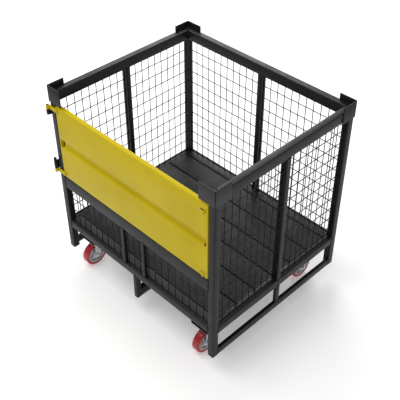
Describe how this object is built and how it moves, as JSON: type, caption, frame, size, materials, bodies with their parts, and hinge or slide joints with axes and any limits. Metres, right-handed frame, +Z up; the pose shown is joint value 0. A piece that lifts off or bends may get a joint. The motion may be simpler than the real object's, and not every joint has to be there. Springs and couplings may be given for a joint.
{
  "type": "roll cage container",
  "caption": "Mesh-sided steel stillage on swivel castors, with a half-height sheet steel swing gate, stacking guides and a plank deck.",
  "frame": {"origin": "on the ground, under the middle of the cage's corner posts", "axes": "+X along the gate side from the hinges to the latches, +Y from the gate side to the rear, +Z up"},
  "size_m": [1.226, 1.0265, 1.22],
  "materials": {
    "frame_paint": "satin black paint on welded steel tube",
    "mesh_wire": "satin black paint on drawn wire",
    "deck_steel": "worn satin black paint on folded sheet steel",
    "gate_paint": "gloss yellow paint on pressed sheet steel",
    "zinc": "bright zinc plate",
    "wheel_tread": "gloss cast polyurethane, red",
    "wheel_centre": "machined casting"
  },
  "bodies": {
    "frame": {"castor_bolts": "zinc", "castor_pads": "frame_paint", "castor_plate_front_left": "zinc", "castor_plate_front_right": "zinc", "castor_plate_rear_left": "zinc", "castor_plate_rear_right": "zinc", "deck_bearers": "frame_paint", "deck_planks": "deck_steel", "deck_rail_front": "frame_paint", "deck_rail_left": "frame_paint", "deck_rail_rear": "frame_paint", "deck_rail_right": "frame_paint", "front_mid_rail": "frame_paint", "front_stiles": "frame_paint", "hinge_brackets": "frame_paint", "hinge_pins": "frame_paint", "king_bolts": "zinc", "mesh_front": "mesh_wire", "mesh_left": "mesh_wire", "mesh_rear": "mesh_wire", "mesh_right": "mesh_wire", "mid_post_left": "frame_paint", "mid_post_rear": "frame_paint", "mid_post_right": "frame_paint", "post_front_left": "frame_paint", "post_front_right": "frame_paint", "post_rear_left": "frame_paint", "post_rear_right": "frame_paint", "runner_centre": "frame_paint", "runner_left": "frame_paint", "runner_right": "frame_paint", "runner_struts": "frame_paint", "stacking_guide_front_left": "frame_paint", "stacking_guide_front_right": "frame_paint", "stacking_guide_rear_left": "frame_paint", "stacking_guide_rear_right": "frame_paint", "top_rail_left": "frame_paint", "top_rail_rear": "frame_paint", "top_rail_right": "frame_paint"},
    "swivel_front_left": {"castor_axle_front_left": "zinc", "castor_fork_front_left": "zinc"},
    "swivel_front_right": {"castor_axle_front_right": "zinc", "castor_fork_front_right": "zinc"},
    "swivel_rear_left": {"castor_axle_rear_left": "zinc", "castor_fork_rear_left": "zinc"},
    "swivel_rear_right": {"castor_axle_rear_right": "zinc", "castor_fork_rear_right": "zinc"},
    "wheel_front_left": {"castor_hub_front_left": "wheel_centre", "castor_tyre_front_left": "wheel_tread"},
    "wheel_front_right": {"castor_hub_front_right": "wheel_centre", "castor_tyre_front_right": "wheel_tread"},
    "wheel_rear_left": {"castor_hub_rear_left": "wheel_centre", "castor_tyre_rear_left": "wheel_tread"},
    "wheel_rear_right": {"castor_hub_rear_right": "wheel_centre", "castor_tyre_rear_right": "wheel_tread"},
    "gate": {"gate_panel": "gate_paint", "gate_straps": "gate_paint", "latch_guides": "gate_paint"},
    "latch_lower": {"latch_bolt_lower": "gate_paint"},
    "latch_upper": {"latch_bolt_upper": "gate_paint"}
  },
  "joints": [
    {"name": "gate_swing", "type": "hinge", "parent": "frame", "child": "gate", "pos_m": [-0.612, -0.512, 0.88], "axis": [0, 0, 1], "range_deg": [-270, 0]},
    {"name": "latch_upper_slide", "type": "slide", "parent": "gate", "child": "latch_upper", "axis": [1, 0, 0], "range_m": [-0.026, 0]},
    {"name": "latch_lower_slide", "type": "slide", "parent": "gate", "child": "latch_lower", "axis": [1, 0, 0], "range_m": [-0.026, 0]},
    {"name": "swivel_front_left_turn", "type": "hinge", "parent": "frame", "child": "swivel_front_left", "pos_m": [-0.465, -0.395, 0.164], "axis": [0, 0, 1], "continuous": true},
    {"name": "wheel_front_left_spin", "type": "hinge", "parent": "swivel_front_left", "child": "wheel_front_left", "pos_m": [-0.465, -0.425, 0.075], "axis": [1, 0, 0], "continuous": true},
    {"name": "swivel_front_right_turn", "type": "hinge", "parent": "frame", "child": "swivel_front_right", "pos_m": [0.465, -0.395, 0.164], "axis": [0, 0, 1], "continuous": true},
    {"name": "wheel_front_right_spin", "type": "hinge", "parent": "swivel_front_right", "child": "wheel_front_right", "pos_m": [0.465, -0.425, 0.075], "axis": [1, 0, 0], "continuous": true},
    {"name": "swivel_rear_left_turn", "type": "hinge", "parent": "frame", "child": "swivel_rear_left", "pos_m": [-0.465, 0.395, 0.164], "axis": [0, 0, 1], "continuous": true},
    {"name": "wheel_rear_left_spin", "type": "hinge", "parent": "swivel_rear_left", "child": "wheel_rear_left", "pos_m": [-0.465, 0.365, 0.075], "axis": [1, 0, 0], "continuous": true},
    {"name": "swivel_rear_right_turn", "type": "hinge", "parent": "frame", "child": "swivel_rear_right", "pos_m": [0.465, 0.395, 0.164], "axis": [0, 0, 1], "continuous": true},
    {"name": "wheel_rear_right_spin", "type": "hinge", "parent": "swivel_rear_right", "child": "wheel_rear_right", "pos_m": [0.465, 0.365, 0.075], "axis": [1, 0, 0], "continuous": true}
  ]
}
